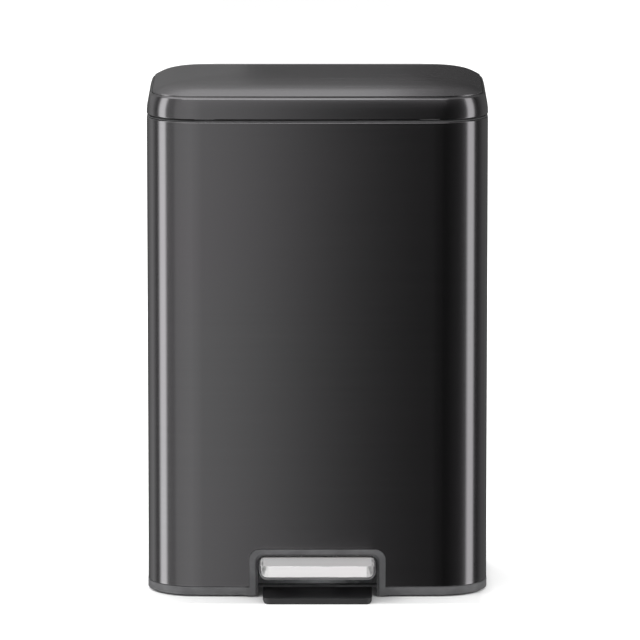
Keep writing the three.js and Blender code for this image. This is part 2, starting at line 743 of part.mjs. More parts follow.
// ---------------------------------------------------------------- lid arm and lift rod
// Where the rod pin runs, in the lid's own place: the rod goes straight up while the lid turns.
function pinPath(steps = 10) {
  const path = [];
  for (let i = 0; i <= steps; i++) {
    const turn = (i / steps) * lidAngle;
    const y = rodY - hingeY;
    const z = pinZ - hingeZ + (i / steps) * ROD_STROKE;
    path.push(
      at(
        hingeY + y * Math.cos(turn) - z * Math.sin(turn),
        hingeZ + y * Math.sin(turn) + z * Math.cos(turn),
      ),
    );
  }
  return path;
}

function lidArm() {
  const path = pinPath();
  const top = linerUnder - GAP;
  const blade = sidePlate(strip(path, ARM_HALF), -ARM_SHEET / 2, ARM_SHEET / 2);
  const neck = box(-ARM_SHEET / 2, ARM_SHEET / 2, rodY - 5, rodY + 7, pinZ, top - 0.5);
  const flange = box(-12, 12, rodY - 8, rodY + 8, top - 2, top);
  const slot = sidePlate(strip(path, ROD_PIN_RADIUS + GUIDE_CLEARANCE), -ARM_SHEET, ARM_SHEET);
  return cut(join(blade, neck, flange), slot);
}
add("lid_arm", lidArm(), zincSteel);

const forkBottom = Math.min(...pinPath().map((p) => p.y)) - ARM_HALF - FORK_CLEARANCE;
const headBottom = forkBottom - 5;
const headSlot = ARM_SHEET / 2 + 0.6;
const headHalf = headSlot + HEAD_CHEEK;

function rodHead() {
  const block = box(-headHalf, headHalf, rodY - 6, rodY + 6, headBottom, pinZ);
  const eye = rodX(6, rodY, pinZ, -headHalf, headHalf);
  const fork = box(-headSlot, headSlot, rodY - 10, rodY + 10, forkBottom, pinZ + 10);
  const pin = rodX(ROD_PIN_RADIUS + GAP, rodY, pinZ, -headHalf - 5, headHalf + 5);
  return cut(join(block, eye), fork, pin);
}
add("rod_head", rodHead(), greyPlastic);
add("rod_pin", rodX(ROD_PIN_RADIUS, rodY, pinZ, -headHalf - 1, headHalf + 1), zincSteel);

const rodBottom = footTop + GAP;
add("rod_foot", rodZ(ROD_FOOT_RADIUS, 0, rodY, footBottom, footTop), blackPlastic);
add("lift_rod", rodZ(ROD_RADIUS, 0, rodY, rodBottom, headBottom - GAP), zincSteel);

// ---------------------------------------------------------------- guides, channel cover, damper
const channelFront = back - channelDepth;
const guideFront = channelFront + 2 + GAP;
const guideHole = (z) => rodZ(ROD_RADIUS + GUIDE_CLEARANCE, 0, rodY, z - 5, z + GUIDE_HEIGHT + 5);
const channelTop = headBottom - 8;
const channelBottom = floorTop + BASE_LIP + GAP;

function rodGuide(z) {
  return cut(box(-14, 14, guideFront, shellInside, z, z + GUIDE_HEIGHT), guideHole(z));
}
const upperGuideZ = channelTop - 6 - GUIDE_HEIGHT;
const lowerGuideZ = channelBottom + 25;
add("rod_guide_upper", rodGuide(upperGuideZ), blackPlastic);
add("rod_guide_lower", rodGuide(lowerGuideZ), blackPlastic);

function channelCover() {
  const half = CHANNEL_WIDTH / 2;
  const outer = box(-half, half, channelFront, shellInside, channelBottom, channelTop);
  const inner = box(-half + 2, half - 2, channelFront + 2, back + 5, channelBottom - 5, channelTop + 5);
  return cut(outer, inner);
}
add("channel_cover", channelCover(), bucketPlastic);

const clampZ = upperGuideZ - ROD_STROKE - 23;
const damperTop = clampZ - 40;
const damperBottom = damperTop - DAMPER_LENGTH;

function damperCylinder() {
  const tube = rodZ(DAMPER_RADIUS, DAMPER_OFFSET, rodY, damperBottom, damperTop);
  const bore = rodZ(
    DAMPER_ROD_RADIUS + GUIDE_CLEARANCE, DAMPER_OFFSET, rodY, damperTop - 62, damperTop + 5);
  return cut(tube, bore);
}
add("damper_cylinder", damperCylinder(), blackPlastic);
add(
  "damper_rod",
  rodZ(DAMPER_ROD_RADIUS, DAMPER_OFFSET, rodY, damperTop - 58, clampZ - GAP),
  brightSteel,
);

function damperClamp() {
  const block = box(-8, DAMPER_OFFSET + 6, rodY - 7, rodY + 7, clampZ, clampZ + 10);
  const hole = rodZ(ROD_RADIUS + GAP, 0, rodY, clampZ - 5, clampZ + 15);
  return cut(block, hole);
}
add("damper_clamp", damperClamp(), blackPlastic);

const cradleTop = damperBottom - GAP;
add(
  "damper_cradle",
  box(
    DAMPER_OFFSET - DAMPER_RADIUS,
    DAMPER_OFFSET + DAMPER_RADIUS,
    guideFront,
    shellInside,
    cradleTop - 12,
    cradleTop,
  ),
  blackPlastic,
);

// ---------------------------------------------------------------- pedal lever
const leverHalf = LEVER_WIDTH / 2;
const leverFrontZ = PEDAL_TOP - 10;
const leverPath = [
  at(pedalFront + 9, leverFrontZ),
  at(pedalFront + 50, leverFrontZ),
  at(pivotY, PIVOT_HEIGHT),
  at(rodY - 30, ROLLER_HEIGHT + 1),
  at(rodY, ROLLER_HEIGHT),
];

function pedalLever() {
  const cheek = strip(leverPath, LEVER_HALF);
  const webPath = leverPath.slice(0, 4).map((p) => at(p.x, p.y + LEVER_HALF - 1));
  const pieces = [-leverHalf, leverHalf - LEVER_SHEET].map((x) => sidePlate(cheek, x, x + LEVER_SHEET));
  const web = sidePlate(strip(webPath, 1), -leverHalf + 0.5, leverHalf - 0.5);
  const pivotHole = rodX(PIN_RADIUS + PIN_CLEARANCE, pivotY, PIVOT_HEIGHT, -leverHalf - 5, leverHalf + 5);
  const tipHole = rodX(2 + GAP, rodY, ROLLER_HEIGHT, -leverHalf - 5, leverHalf + 5);
  return cut(join(...pieces, web), pivotHole, tipHole);
}
add("pedal_lever", pedalLever(), zincSteel);

const rollerHalf = leverHalf - LEVER_SHEET - 0.6;
const roller = cut(
  rodX(ROLLER_RADIUS, rodY, ROLLER_HEIGHT, -rollerHalf, rollerHalf, 24),
  rodX(2 + GAP, rodY, ROLLER_HEIGHT, -leverHalf, leverHalf),
);
add("lever_roller", roller, blackPlastic);
add("roller_pin", rodX(2, rodY, ROLLER_HEIGHT, -leverHalf - 1.5, leverHalf + 1.5), zincSteel);

const bracketInner = leverHalf + 1.5;
const bracketOuter = bracketInner + BRACKET_SHEET;
const bracketTop = floorHeight - GAP;
const pivotPinEnd = bracketOuter + 2;
add(
  "pivot_pin",
  rodX(PIN_RADIUS, pivotY, PIVOT_HEIGHT, -pivotPinEnd, pivotPinEnd),
  zincSteel,
);
for (const [side, name] of [[-1, "left"], [1, "right"]]) {
  const x0 = side < 0 ? -bracketOuter : bracketInner;
  const plate = box(x0, x0 + BRACKET_SHEET, pivotY - 9, pivotY + 9, PIVOT_HEIGHT, bracketTop);
  const eye = rodX(9, pivotY, PIVOT_HEIGHT, x0, x0 + BRACKET_SHEET);
  const f0 = side < 0 ? -bracketOuter - 16 : bracketOuter - 0.5;
  const flange = box(f0, f0 + 16.5, pivotY - 9, pivotY + 9, bracketTop - BRACKET_SHEET, bracketTop);
  const hole = rodX(PIN_RADIUS + PIN_CLEARANCE, pivotY, PIVOT_HEIGHT, x0 - 5, x0 + 10);
  add(`pivot_bracket_${name}`, cut(join(plate, eye, flange), hole), zincSteel);
}

// ---------------------------------------------------------------- pedal cap and core
const pedalBack = pedalFront + PEDAL_DEPTH;
const faceBottom = PEDAL_TOP - PEDAL_FACE;
const slope = Math.atan(PEDAL_RISE / PEDAL_DEPTH);

// The pedal's outline, drawn in by some distance: a plan with round front corners,
// and a section with round corners, under a top that slopes down to the front.
function pedalBlock(shrink, bottom, drop = shrink) {
  const half = PEDAL_WIDTH / 2 - shrink;
  const corner = PEDAL_CORNER - shrink;
  const edge = PEDAL_EDGE - shrink;
  const heel = PEDAL_HEEL - shrink;
  const plan = roundedShape(-half, half, pedalFront + shrink, pedalBack, [corner, corner, 0, 0]);
  const section = roundedShape(-half, half, bottom - PEDAL_TOP, -drop, [heel, heel, edge, edge]);
  const long = frontPlate(section, -PEDAL_DEPTH, 2 * PEDAL_DEPTH)
    .rotateX(slope)
    .translate(0, pedalFront, PEDAL_TOP);
  return common(planPlate(plan, 0, 2 * PEDAL_TOP), long);
}

// The cap is bent from sheet. It is flush with the front of the core and open at the back.
const capFront = (geometry) => geometry.translate(0, -CAP_MARGIN, 0);
const capBlock = (shrink, bottom) => capFront(pedalBlock(CAP_MARGIN + shrink, bottom, shrink));

function pedalCap() {
  const hollow = capBlock(CAP_SHEET, faceBottom - 20);
  const openBack = capBlock(CAP_SHEET, faceBottom - 20).translate(0, CAP_MARGIN + 2, 0);
  return cut(capBlock(0, faceBottom), hollow, openBack);
}
add("pedal_cap", pedalCap(), brightSteel);

function pedalCore() {
  const tray = pedalBlock(0, faceBottom - GAP - PEDAL_LIP);
  const seat = [0, CAP_MARGIN + 2, -12].map((shift) =>
    capBlock(-GAP, faceBottom - GAP).translate(0, shift, 0),
  );
  const block = join(
    capBlock(CAP_SHEET + GAP, faceBottom - 2),
    capBlock(CAP_SHEET + GAP, faceBottom - 2).translate(0, CAP_MARGIN, 0),
  );
  const half = leverHalf + GAP;
  const pocket = box(
    -half,
    half,
    pedalFront + 9 - LEVER_HALF - GAP,
    pedalBack + 5,
    0,
    leverFrontZ + LEVER_HALF + GAP,
  );
  return cut(join(cut(tray, ...seat), block), pocket);
}
add("pedal_core", pedalCore(), greyPlastic);

// The origin goes to the middle of the footprint, from the front foot to the hinge cover.
const foremost = Math.min(front - FRONT_FOOT_REACH, pedalFront);
const rearmost = back + coverDepth;
part.position.y = -(foremost + rearmost) / 2;

export default part;
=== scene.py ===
# Pedal trash can: black steel body on a plastic base, domed lid on a rear hinge, foot pedal.
import json
from math import cos, exp, pi, radians, sin

import bmesh
import bpy
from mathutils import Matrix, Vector

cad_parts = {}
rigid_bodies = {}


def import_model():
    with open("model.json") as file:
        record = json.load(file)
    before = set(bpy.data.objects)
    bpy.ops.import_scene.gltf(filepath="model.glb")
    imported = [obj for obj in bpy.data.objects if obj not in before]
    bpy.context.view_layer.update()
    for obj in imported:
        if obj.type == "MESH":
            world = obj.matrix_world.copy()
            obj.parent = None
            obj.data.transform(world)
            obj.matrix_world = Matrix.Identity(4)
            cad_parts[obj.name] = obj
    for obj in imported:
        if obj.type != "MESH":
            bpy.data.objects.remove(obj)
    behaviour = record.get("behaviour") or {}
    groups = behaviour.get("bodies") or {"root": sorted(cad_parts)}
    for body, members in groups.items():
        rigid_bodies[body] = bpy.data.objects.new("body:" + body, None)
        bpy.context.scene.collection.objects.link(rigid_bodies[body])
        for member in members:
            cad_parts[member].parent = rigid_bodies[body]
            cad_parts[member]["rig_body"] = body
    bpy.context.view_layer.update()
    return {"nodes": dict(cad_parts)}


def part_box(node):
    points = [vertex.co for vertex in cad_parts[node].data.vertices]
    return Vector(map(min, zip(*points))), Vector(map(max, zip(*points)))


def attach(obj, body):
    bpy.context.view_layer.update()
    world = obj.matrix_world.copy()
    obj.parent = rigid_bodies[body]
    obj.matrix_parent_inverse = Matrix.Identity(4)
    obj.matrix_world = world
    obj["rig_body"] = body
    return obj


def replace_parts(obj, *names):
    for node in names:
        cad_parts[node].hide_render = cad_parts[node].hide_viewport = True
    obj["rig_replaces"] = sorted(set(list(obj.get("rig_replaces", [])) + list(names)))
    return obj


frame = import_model()
mm = 0.001
print("frame loaded")

# camera, light and floor
camera = {"lens": 384.4, "place": (0.00305, -7.992, 1.6769), "pitch": 9.7}
softboxes = {  # place, aim, width, height, watts, kinds of surface lit
    "keySoftbox": ((-1.3, -0.5, 1.9), (0, 0, 0.5), 1.2, 1.0, 16, "diffuse"),
    "fillSoftbox": ((1.9, -1.4, 1.5), (0, 0, 0.4), 1.0, 1.0, 5, "diffuse"),
    "backSoftbox": ((-0.9, 2.0, 1.6), (0, 0, 0.4), 1.4, 1.0, 14, "diffuse"),
    "topPanel": ((-0.47, -0.1, 1.55), (-0.47, -0.099, 0), 1.2, 1.4, 5.6, "glossy"),
    "upperPanel": ((-0.47, 1.3, 1.55), (-0.47, 1.301, 0), 1.2, 1.4, 1.3, "glossy"),
    "rearPanel": ((-0.95, 1.4, 1.1), (-0.95, 0, 1.1), 1.7, 1.0, 0.75, "glossy"),
    "frontPanel": ((-0.25, -1.5, 2.6), (0, 0, 0.6), 2.2, 1.3, 11, "glossy"),
}
# Brightness that polished pieces mirror, by degrees round to the left of straight ahead.
roomBrightness = [
    (-180, 0.08), (-165, 0.08), (-150, 0.2), (-125, 0.26), (-104, 0.08), (-93, 0.2),
    (-89, 2.2), (-73, 2.2), (-68, 0.3), (-56, 0.12), (-45, 0.07), (-20, 0.03), (-6, 0.02),
    (-3.2, 0.005), (0, 0.17), (3, 0.56), (5, 0.72), (48, 0.64), (54, 0.42), (73, 0.42),
    (78, 2.9), (93, 2.9), (99, 0.4), (106, 0.15), (115, 0.4), (124, 0.65), (150, 0.2),
    (180, 0.08),
]
room = {"ambient": 1.1, "ceiling": 0.45, "ceilingFrom": 0.35, "ceilingFull": 0.9}
floorGlow = {"strength": 0.3, "side": (0.19, 0.21), "front": (-0.15, -0.17)}  # clear of the can


def addNode(tree, kind, inputs=None, **settings):
    node = tree.nodes.new(kind)
    for key, value in settings.items():
        setattr(node, key, value)
    for key, value in (inputs or {}).items():
        if isinstance(value, bpy.types.NodeSocket):
            tree.links.new(value, node.inputs[key])
        else:
            node.inputs[key].default_value = value
    return node


def makeCamera():
    bpy.ops.object.camera_add(
        location=camera["place"], rotation=(radians(90 - camera["pitch"]), 0, 0))
    view = bpy.context.object
    view.data.lens = camera["lens"]
    view.data.clip_end = 100
    bpy.context.scene.camera = view


def makeSoftboxes():
    for name, (place, aim, width, height, watts, lit) in softboxes.items():
        bpy.ops.object.light_add(type="AREA", location=place)
        lamp = bpy.context.object
        lamp.name = name
        lamp.rotation_euler = (Vector(aim) - Vector(place)).to_track_quat("-Z", "Y").to_euler()
        lamp.data.shape = "RECTANGLE"
        lamp.data.size, lamp.data.size_y, lamp.data.energy = width, height, watts
        lamp.visible_camera = False
        lamp.visible_glossy, lamp.visible_diffuse = lit == "glossy", lit == "diffuse"


def makeRoom():
    world = bpy.data.worlds.new("studio")
    bpy.context.scene.world = world
    world.use_nodes = True
    world.cycles.sampling_method = "NONE"
    tree = world.node_tree
    background = tree.nodes["Background"]
    place = addNode(tree, "ShaderNodeTexCoord").outputs["Generated"]
    axes = addNode(tree, "ShaderNodeSeparateXYZ", {0: place}).outputs
    left = addNode(tree, "ShaderNodeMath", {0: axes["X"], 1: -1.0}, operation="MULTIPLY")
    ahead = addNode(tree, "ShaderNodeMath", {0: axes["Y"], 1: -1.0}, operation="MULTIPLY")
    turn = addNode(tree, "ShaderNodeMath", {0: left.outputs[0], 1: ahead.outputs[0]},
                   operation="ARCTAN2")
    along = addNode(tree, "ShaderNodeMapRange", {"Value": turn.outputs[0], 1: -pi, 2: pi})
    ramp = addNode(tree, "ShaderNodeValToRGB", {"Fac": along.outputs[0]})
    stops = ramp.color_ramp.elements
    while len(stops) < len(roomBrightness):
        stops.new(0.5)
    top = max(value for _, value in roomBrightness)
    for stop, (degrees, value) in zip(stops, roomBrightness):
        stop.position = 0.5 + degrees / 360
        stop.color = (value / top, value / top, value / top, 1)
    wall = addNode(tree, "ShaderNodeMath", {0: ramp.outputs["Color"], 1: top}, operation="MULTIPLY")
    height = addNode(tree, "ShaderNodeMapRange", {
        "Value": axes["Z"], 1: room["ceilingFrom"], 2: room["ceilingFull"]},
                     interpolation_type="SMOOTHSTEP")
    mirrored = addNode(tree, "ShaderNodeMix", {
        "Factor": height.outputs[0], 2: wall.outputs[0], 3: room["ceiling"]}, data_type="FLOAT")
    rays = addNode(tree, "ShaderNodeLightPath").outputs
    strength = addNode(tree, "ShaderNodeMix", {
        "Factor": rays["Is Glossy Ray"], 2: room["ambient"], 3: mirrored.outputs[0]},
        data_type="FLOAT")
    tree.links.new(strength.outputs[0], background.inputs["Strength"])
    background.inputs["Color"].default_value = (1, 1, 1, 1)


def makeFloor():
    bpy.ops.mesh.primitive_plane_add(size=60)
    floor = bpy.context.object
    floor.name = "floor"
    floor.visible_glossy = False
    paint = bpy.data.materials.new("paleFloor")
    paint.use_nodes = True
    shader = paint.node_tree.nodes["Principled BSDF"].inputs
    shader["Base Color"].default_value = (0.93, 0.93, 0.93, 1)
    shader["Emission Color"].default_value = (1, 1, 1, 1)
    tree = paint.node_tree
    place = addNode(tree, "ShaderNodeTexCoord").outputs["Object"]
    axes = addNode(tree, "ShaderNodeSeparateXYZ", {0: place}).outputs
    sideways = addNode(tree, "ShaderNodeMath", {0: axes["X"]}, operation="ABSOLUTE").outputs[0]
    around = [addNode(tree, "ShaderNodeMapRange", {
        "Value": value, 1: near, 2: far, 3: 0.0, 4: floorGlow["strength"]})
        for value, (near, far) in ((sideways, floorGlow["side"]), (axes["Y"], floorGlow["front"]))]
    glow = addNode(tree, "ShaderNodeMath", {0: around[0].outputs[0], 1: around[1].outputs[0]},
                   operation="MAXIMUM")
    tree.links.new(glow.outputs[0], shader["Emission Strength"])
    shader["Roughness"].default_value = 0.8
    shader["Specular IOR Level"].default_value = 0.1
    floor.data.materials.append(paint)


bpy.context.scene.view_settings.view_transform = "Standard"
makeCamera()
makeSoftboxes()
makeRoom()
makeFloor()
print("studio ready")

# shader node groups
def newGroup(name, inputs, outputs):
    group = bpy.data.node_groups.new(name, "ShaderNodeTree")
    for label, (kind, value) in inputs.items():
        socket = group.interface.new_socket(label, in_out="INPUT", socket_type=kind)
        socket.default_value = value
    for label in outputs:
        group.interface.new_socket(label, in_out="OUTPUT", socket_type="NodeSocketFloat")
    return group, addNode(group, "NodeGroupInput").outputs, addNode(group, "NodeGroupOutput").inputs


def mapRange(tree, value, low, high, toLow, toHigh):
    return addNode(tree, "ShaderNodeMapRange", {
        "Value": value, 1: low, 2: high, 3: toLow, 4: toHigh}).outputs[0]


def makeBrushing():
    number, vector = "NodeSocketFloat", "NodeSocketVector"
    group, given, out = newGroup("brushing", {
        "Stretch": (vector, (5.0, 5.0, 900.0)), "Depth": (number, 1.0)}, ["Streaks", "Height"])
    place = addNode(group, "ShaderNodeTexCoord").outputs["Object"]
    drawn = addNode(group, "ShaderNodeVectorMath", {0: place, 1: given["Stretch"]},
                    operation="MULTIPLY").outputs[0]
    fine = addNode(group, "ShaderNodeTexNoise", {
        "Vector": drawn, "Scale": 1.6, "Detail": 4.0, "Roughness": 0.65}).outputs["Fac"]
    broad = addNode(group, "ShaderNodeTexNoise", {
        "Vector": drawn, "Scale": 0.23, "Detail": 2.0}).outputs["Fac"]
    streaks = addNode(group, "ShaderNodeMix", {"Factor": 0.35, 2: fine, 3: broad},
                      data_type="FLOAT").outputs[0]
    deep = addNode(group, "ShaderNodeMath", {0: streaks, 1: given["Depth"]}, operation="MULTIPLY")
    group.links.new(mapRange(group, streaks, 0.3, 0.7, 0.0, 1.0), out["Streaks"])
    group.links.new(deep.outputs[0], out["Height"])
    return group


def makeHandling():
    group, given, out = newGroup("handling", {"Size": ("NodeSocketFloat", 9.0)}, ["Smudges"])
    place = addNode(group, "ShaderNodeTexCoord").outputs["Object"]
    cloud = addNode(group, "ShaderNodeTexNoise", {
        "Vector": place, "Scale": given["Size"], "Detail": 2.0, "Roughness": 0.4,
        "Distortion": 0.4}).outputs["Fac"]
    group.links.new(mapRange(group, cloud, 0.35, 0.7, 0.0, 1.0), out["Smudges"])
    return group


def makeMouldGrain():
    group, given, out = newGroup("mouldGrain", {"Size": ("NodeSocketFloat", 900.0)},
                                 ["Height", "Tone"])
    place = addNode(group, "ShaderNodeTexCoord").outputs["Object"]
    cells = addNode(group, "ShaderNodeTexVoronoi", {
        "Vector": place, "Scale": given["Size"], "Randomness": 1.0}).outputs["Distance"]
    tone = addNode(group, "ShaderNodeTexNoise", {
        "Vector": place, "Scale": 24.0, "Detail": 3.0}).outputs["Fac"]
    group.links.new(cells, out["Height"])
    group.links.new(tone, out["Tone"])
    return group


# Convex-edge mask, made patchy. On the black steel and the plastics it is real wear. On the bright
# steel it paints shade along the pedal cap's fold and corners.
def makeEdgeWearAndFoldShade():
    group, given, out = newGroup("wornEdges", {"Amount": ("NodeSocketFloat", 1.0)}, ["Mask"])
    edge = addNode(group, "ShaderNodeNewGeometry").outputs["Pointiness"]
    sharp = mapRange(group, edge, 0.52, 0.6, 0.0, 1.0)
    place = addNode(group, "ShaderNodeTexCoord").outputs["Object"]
    rubbed = addNode(group, "ShaderNodeTexNoise", {
        "Vector": place, "Scale": 60.0, "Detail": 4.0}).outputs["Fac"]
    patchy = addNode(group, "ShaderNodeMath", {
        0: sharp, 1: mapRange(group, rubbed, 0.35, 0.65, 0.2, 1.0)}, operation="MULTIPLY")
    mask = addNode(group, "ShaderNodeMath", {0: patchy.outputs[0], 1: given["Amount"]},
                   operation="MULTIPLY")
    group.links.new(mask.outputs[0], out["Mask"])
    return group


brushing, handling = makeBrushing(), makeHandling()
mouldGrain, wornEdges = makeMouldGrain(), makeEdgeWearAndFoldShade()


def useGroup(tree, group, **inputs):
    node = addNode(tree, "ShaderNodeGroup", node_tree=group)
    for key, value in inputs.items():
        node.inputs[key].default_value = value
    return node.outputs


def mixColor(tree, factor, first, second):
    node = addNode(tree, "ShaderNodeMix", data_type="RGBA")
    for socket, value in ((0, factor), (6, first), (7, second)):
        if isinstance(value, bpy.types.NodeSocket):
            tree.links.new(value, node.inputs[socket])
        else:
            node.inputs[socket].default_value = value
    return node.outputs[2]


def newMaterial(name, metallic, anisotropy=0.0):
    material = bpy.data.materials.new(name)
    material.use_nodes = True
    tree = material.node_tree
    shader = tree.nodes["Principled BSDF"]
    shader.inputs["Metallic"].default_value = metallic
    shader.inputs["Anisotropic"].default_value = anisotropy
    shader.inputs["Anisotropic Rotation"].default_value = 0.25
    return material, tree, shader.inputs


def brushedSteel(name, colour, worn, stretch, roughness, anisotropy, spread=0.06, metallic=1.0,
                 edgeWear=0.5):
    material, tree, shader = newMaterial(name, metallic, anisotropy)
    grain = useGroup(tree, brushing, Stretch=stretch, Depth=1.0)
    smudges = useGroup(tree, handling, Size=4.5)["Smudges"]
    edge = useGroup(tree, wornEdges, Amount=edgeWear)["Mask"]
    dark, light = [tuple(c * k for c in colour) + (1,) for k in (0.95, 1.05)]
    tone = mixColor(tree, grain["Streaks"], dark, light)
    touched = tuple(c * k for c, k in zip(colour, (1.02, 0.99, 1.01))) + (1,)
    warm = mixColor(tree, smudges, tone, touched)
    # Edges take the edge colour. On the black steel this is real wear; on the bright steel it is
    # painted shade.
    tree.links.new(mixColor(tree, edge, warm, worn + (1,)), shader["Base Color"])
    rough = addNode(tree, "ShaderNodeMix", {
        "Factor": 0.5,
        2: mapRange(tree, grain["Streaks"], 0.0, 1.0, roughness - spread, roughness + spread),
        3: mapRange(tree, smudges, 0.0, 1.0, roughness - spread / 3, roughness + spread / 2)},
        data_type="FLOAT")
    tree.links.new(rough.outputs[0], shader["Roughness"])
    bump = addNode(tree, "ShaderNodeBump", {
        "Height": grain["Height"], "Distance": 0.01 * mm, "Strength": 0.5})
    tree.links.new(bump.outputs[0], shader["Normal"])
    tangent = addNode(tree, "ShaderNodeTangent", direction_type="UV_MAP", uv_map="grain")
    tree.links.new(tangent.outputs[0], shader["Tangent"])
    return material


def mouldedPlastic(name, colour, roughness, size=900.0):
    material, tree, shader = newMaterial(name, 0.0)
    grain = useGroup(tree, mouldGrain, Size=size)
    smudges = useGroup(tree, handling, Size=14.0)["Smudges"]
    edge = useGroup(tree, wornEdges, Amount=0.6)["Mask"]
    dark, light = [tuple(c * k for c in colour) + (1,) for k in (0.88, 1.12)]
    tone = mixColor(tree, grain["Tone"], dark, light)
    rubbed = tuple(min(1, c * 1.7 + 0.01) for c in colour) + (1,)
    tree.links.new(mixColor(tree, edge, tone, rubbed), shader["Base Color"])
    rough = mapRange(tree, smudges, 0, 1, roughness - 0.05, roughness + 0.06)
    tree.links.new(rough, shader["Roughness"])
    bump = addNode(tree, "ShaderNodeBump", {
        "Height": grain["Height"], "Distance": 0.04 * mm, "Strength": 0.5})
    tree.links.new(bump.outputs[0], shader["Normal"])
    return material


blackColour, wornSteel = (0.166, 0.164, 0.168), (0.3, 0.29, 0.29)
materials = {
    "black_steel": brushedSteel(
        "blackSteel", blackColour, wornSteel, (5, 5, 900), 0.21, 0.8, spread=0.03),
    "blackSteelTop": brushedSteel(
        "blackSteelTop", blackColour, wornSteel, (5, 900, 900), 0.26, 0.8, spread=0.04),
    # The bright steel's dark edge colour is painted shade along the pedal cap's fold and corners.
    "bright_steel": brushedSteel(
        "brightSteel", (0.93, 0.93, 0.92), (0.2, 0.2, 0.2), (8, 900, 900), 0.42, 0.0,
        metallic=0.5, edgeWear=1.0),
    "zinc_steel": brushedSteel(
        "zincSteel", (0.5, 0.51, 0.52), (0.62, 0.62, 0.62), (60, 60, 60), 0.38, 0.0),
    "grey_plastic": mouldedPlastic("greyPlastic", (0.075, 0.075, 0.078), 0.5),
    "black_plastic": mouldedPlastic("blackPlastic", (0.022, 0.022, 0.023), 0.52),
    "bucket_plastic": mouldedPlastic("bucketPlastic", (0.035, 0.036, 0.038), 0.42, 1400.0),
    "rubber": mouldedPlastic("rubber", (0.05, 0.05, 0.05), 0.8, 500.0),
}
slotOf = {node: piece.data.materials[0].name for node, piece in frame["nodes"].items()}
print("materials ready")

# modelling helpers
cornerSteps = 20
straightRun = (0.012, 0.25, 0.5, 0.75, 0.988)
frontRun = [step / 28 for step in range(1, 28)]


def planFrom(node, corner, bow=4 * mm):
    low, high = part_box(node)
    return {"halfX": (high.x - low.x) / 2, "halfY": (high.y - low.y - bow) / 2,
            "centreY": (low.y + high.y + bow) / 2, "corner": corner, "bow": bow}


def outline(plan, inset):
    radius = plan["corner"] * exp(-inset / plan["corner"])
    cx, cy = plan["halfX"] - inset - radius, plan["halfY"] - inset - radius
    signs = [(1, 1), (-1, 1), (-1, -1), (1, -1)]
    points = []
    for turn, (sx, sy) in enumerate(signs):
        for step in range(cornerSteps + 1):
            angle = (turn + step / cornerSteps) * pi / 2
            points.append([sx * cx + radius * cos(angle), sy * cy + radius * sin(angle)])
        nx, ny = signs[(turn + 1) % 4]
        x, y = points[-1]
        endX, endY = nx * cx + radius * cos(angle), ny * cy + radius * sin(angle)
        for share in frontRun if turn == 2 else straightRun:
            points.append([x + (endX - x) * share, y + (endY - y) * share])
    for point in points:
        if point[1] < 0:
            point[1] -= plan["bow"] * (1 - (point[0] / plan["halfX"]) ** 2)
        point[1] += plan["centreY"]
    return points


def arc(inset, z, radius, start, end, steps=6):
    angles = [radians(start + (end - start) * step / steps) for step in range(steps + 1)]
    return [(inset - radius * cos(a), z + radius * sin(a)) for a in angles]


def start(kind, name, **place):
    if bpy.context.object and bpy.context.object.mode == "EDIT":
        bpy.ops.object.mode_set(mode="OBJECT")
    bpy.ops.object.select_all(action="DESELECT")
    getattr(bpy.ops.mesh, f"primitive_{kind}_add")(**place)
    piece = bpy.context.object
    piece.name = name
    bpy.ops.object.transform_apply(location=True, rotation=True, scale=True)
    return piece


def block(name, low, high):
    low, high = Vector(low), Vector(high)
    return start("cube", name, size=1, location=(low + high) / 2, scale=high - low)


def pick(piece, kind, test):
    bpy.context.view_layer.objects.active = piece
    bpy.ops.object.mode_set(mode="EDIT")
    bpy.ops.mesh.select_mode(type={"verts": "VERT", "edges": "EDGE", "faces": "FACE"}[kind])
    bpy.ops.mesh.select_all(action="DESELECT")
    mesh = bmesh.from_edit_mesh(piece.data)
    for item in getattr(mesh, kind):
        if test(item):
            item.select_set(True)
    bmesh.update_edit_mesh(piece.data)


def bevelEdges(piece, radius, segments, test):
    pick(piece, "edges", lambda edge: test(*[v.co for v in edge.verts]))
    bpy.ops.mesh.bevel(offset=radius, offset_type="OFFSET", segments=segments, affect="EDGES")
    bpy.ops.object.mode_set(mode="OBJECT")


def modify(piece, kind, **settings):
    bpy.context.view_layer.objects.active = piece
    modifier = piece.modifiers.new(kind.lower(), kind)
    for key, value in settings.items():
        setattr(modifier, key, value)
    bpy.ops.object.modifier_apply(modifier=modifier.name)


def combine(piece, operation, *others):
    for other in others:
        modify(piece, "BOOLEAN", object=other, operation=operation, solver="EXACT")
        bpy.data.objects.remove(other)


